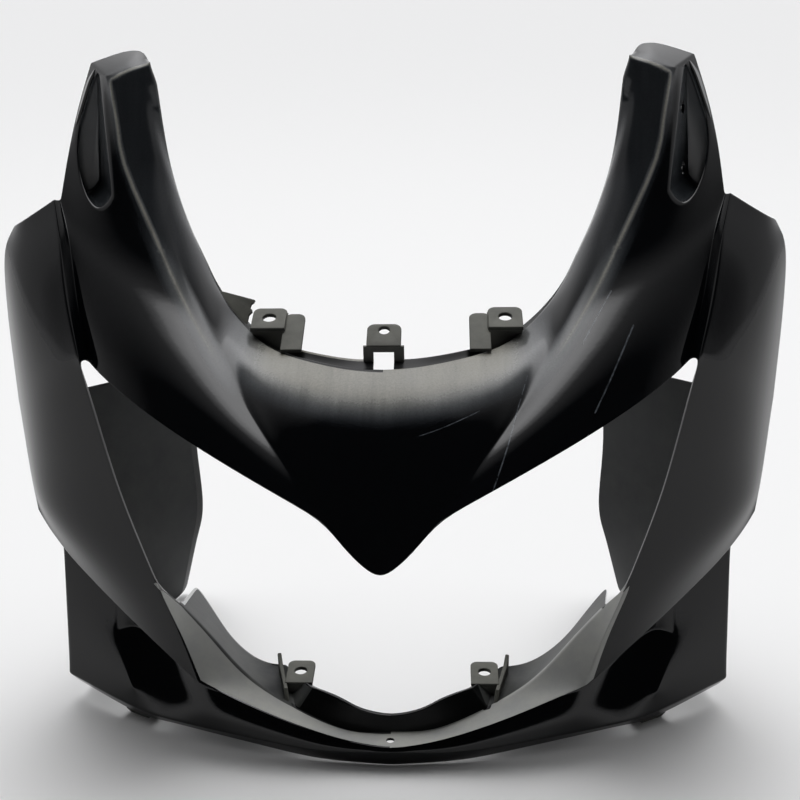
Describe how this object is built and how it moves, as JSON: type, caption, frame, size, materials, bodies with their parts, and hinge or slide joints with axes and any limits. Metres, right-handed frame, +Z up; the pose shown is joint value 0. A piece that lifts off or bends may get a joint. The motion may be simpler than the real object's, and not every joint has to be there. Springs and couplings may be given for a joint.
{
  "type": "motorcycle nose fairing",
  "caption": "Front fairing shell of a touring motorcycle: a thin moulding with a V-shaped headlight opening under a beak, horns that carry the mirrors, side lobes and a low chin.",
  "frame": {"origin": "middle of the footprint, on the level the fairing stands on", "axes": "+X to the viewer's right when facing the beak, +Y back along the machine, +Z up; the mirror plane is X = 0"},
  "size_m": [0.5528, 0.3006, 0.4671],
  "materials": {
    "gloss_black": "gloss black outside, matt grey-black on the inner faces, lightly scratched and dusty"
  },
  "bodies": {
    "root": {"nose_fairing": "gloss_black"}
  },
  "joints": []
}
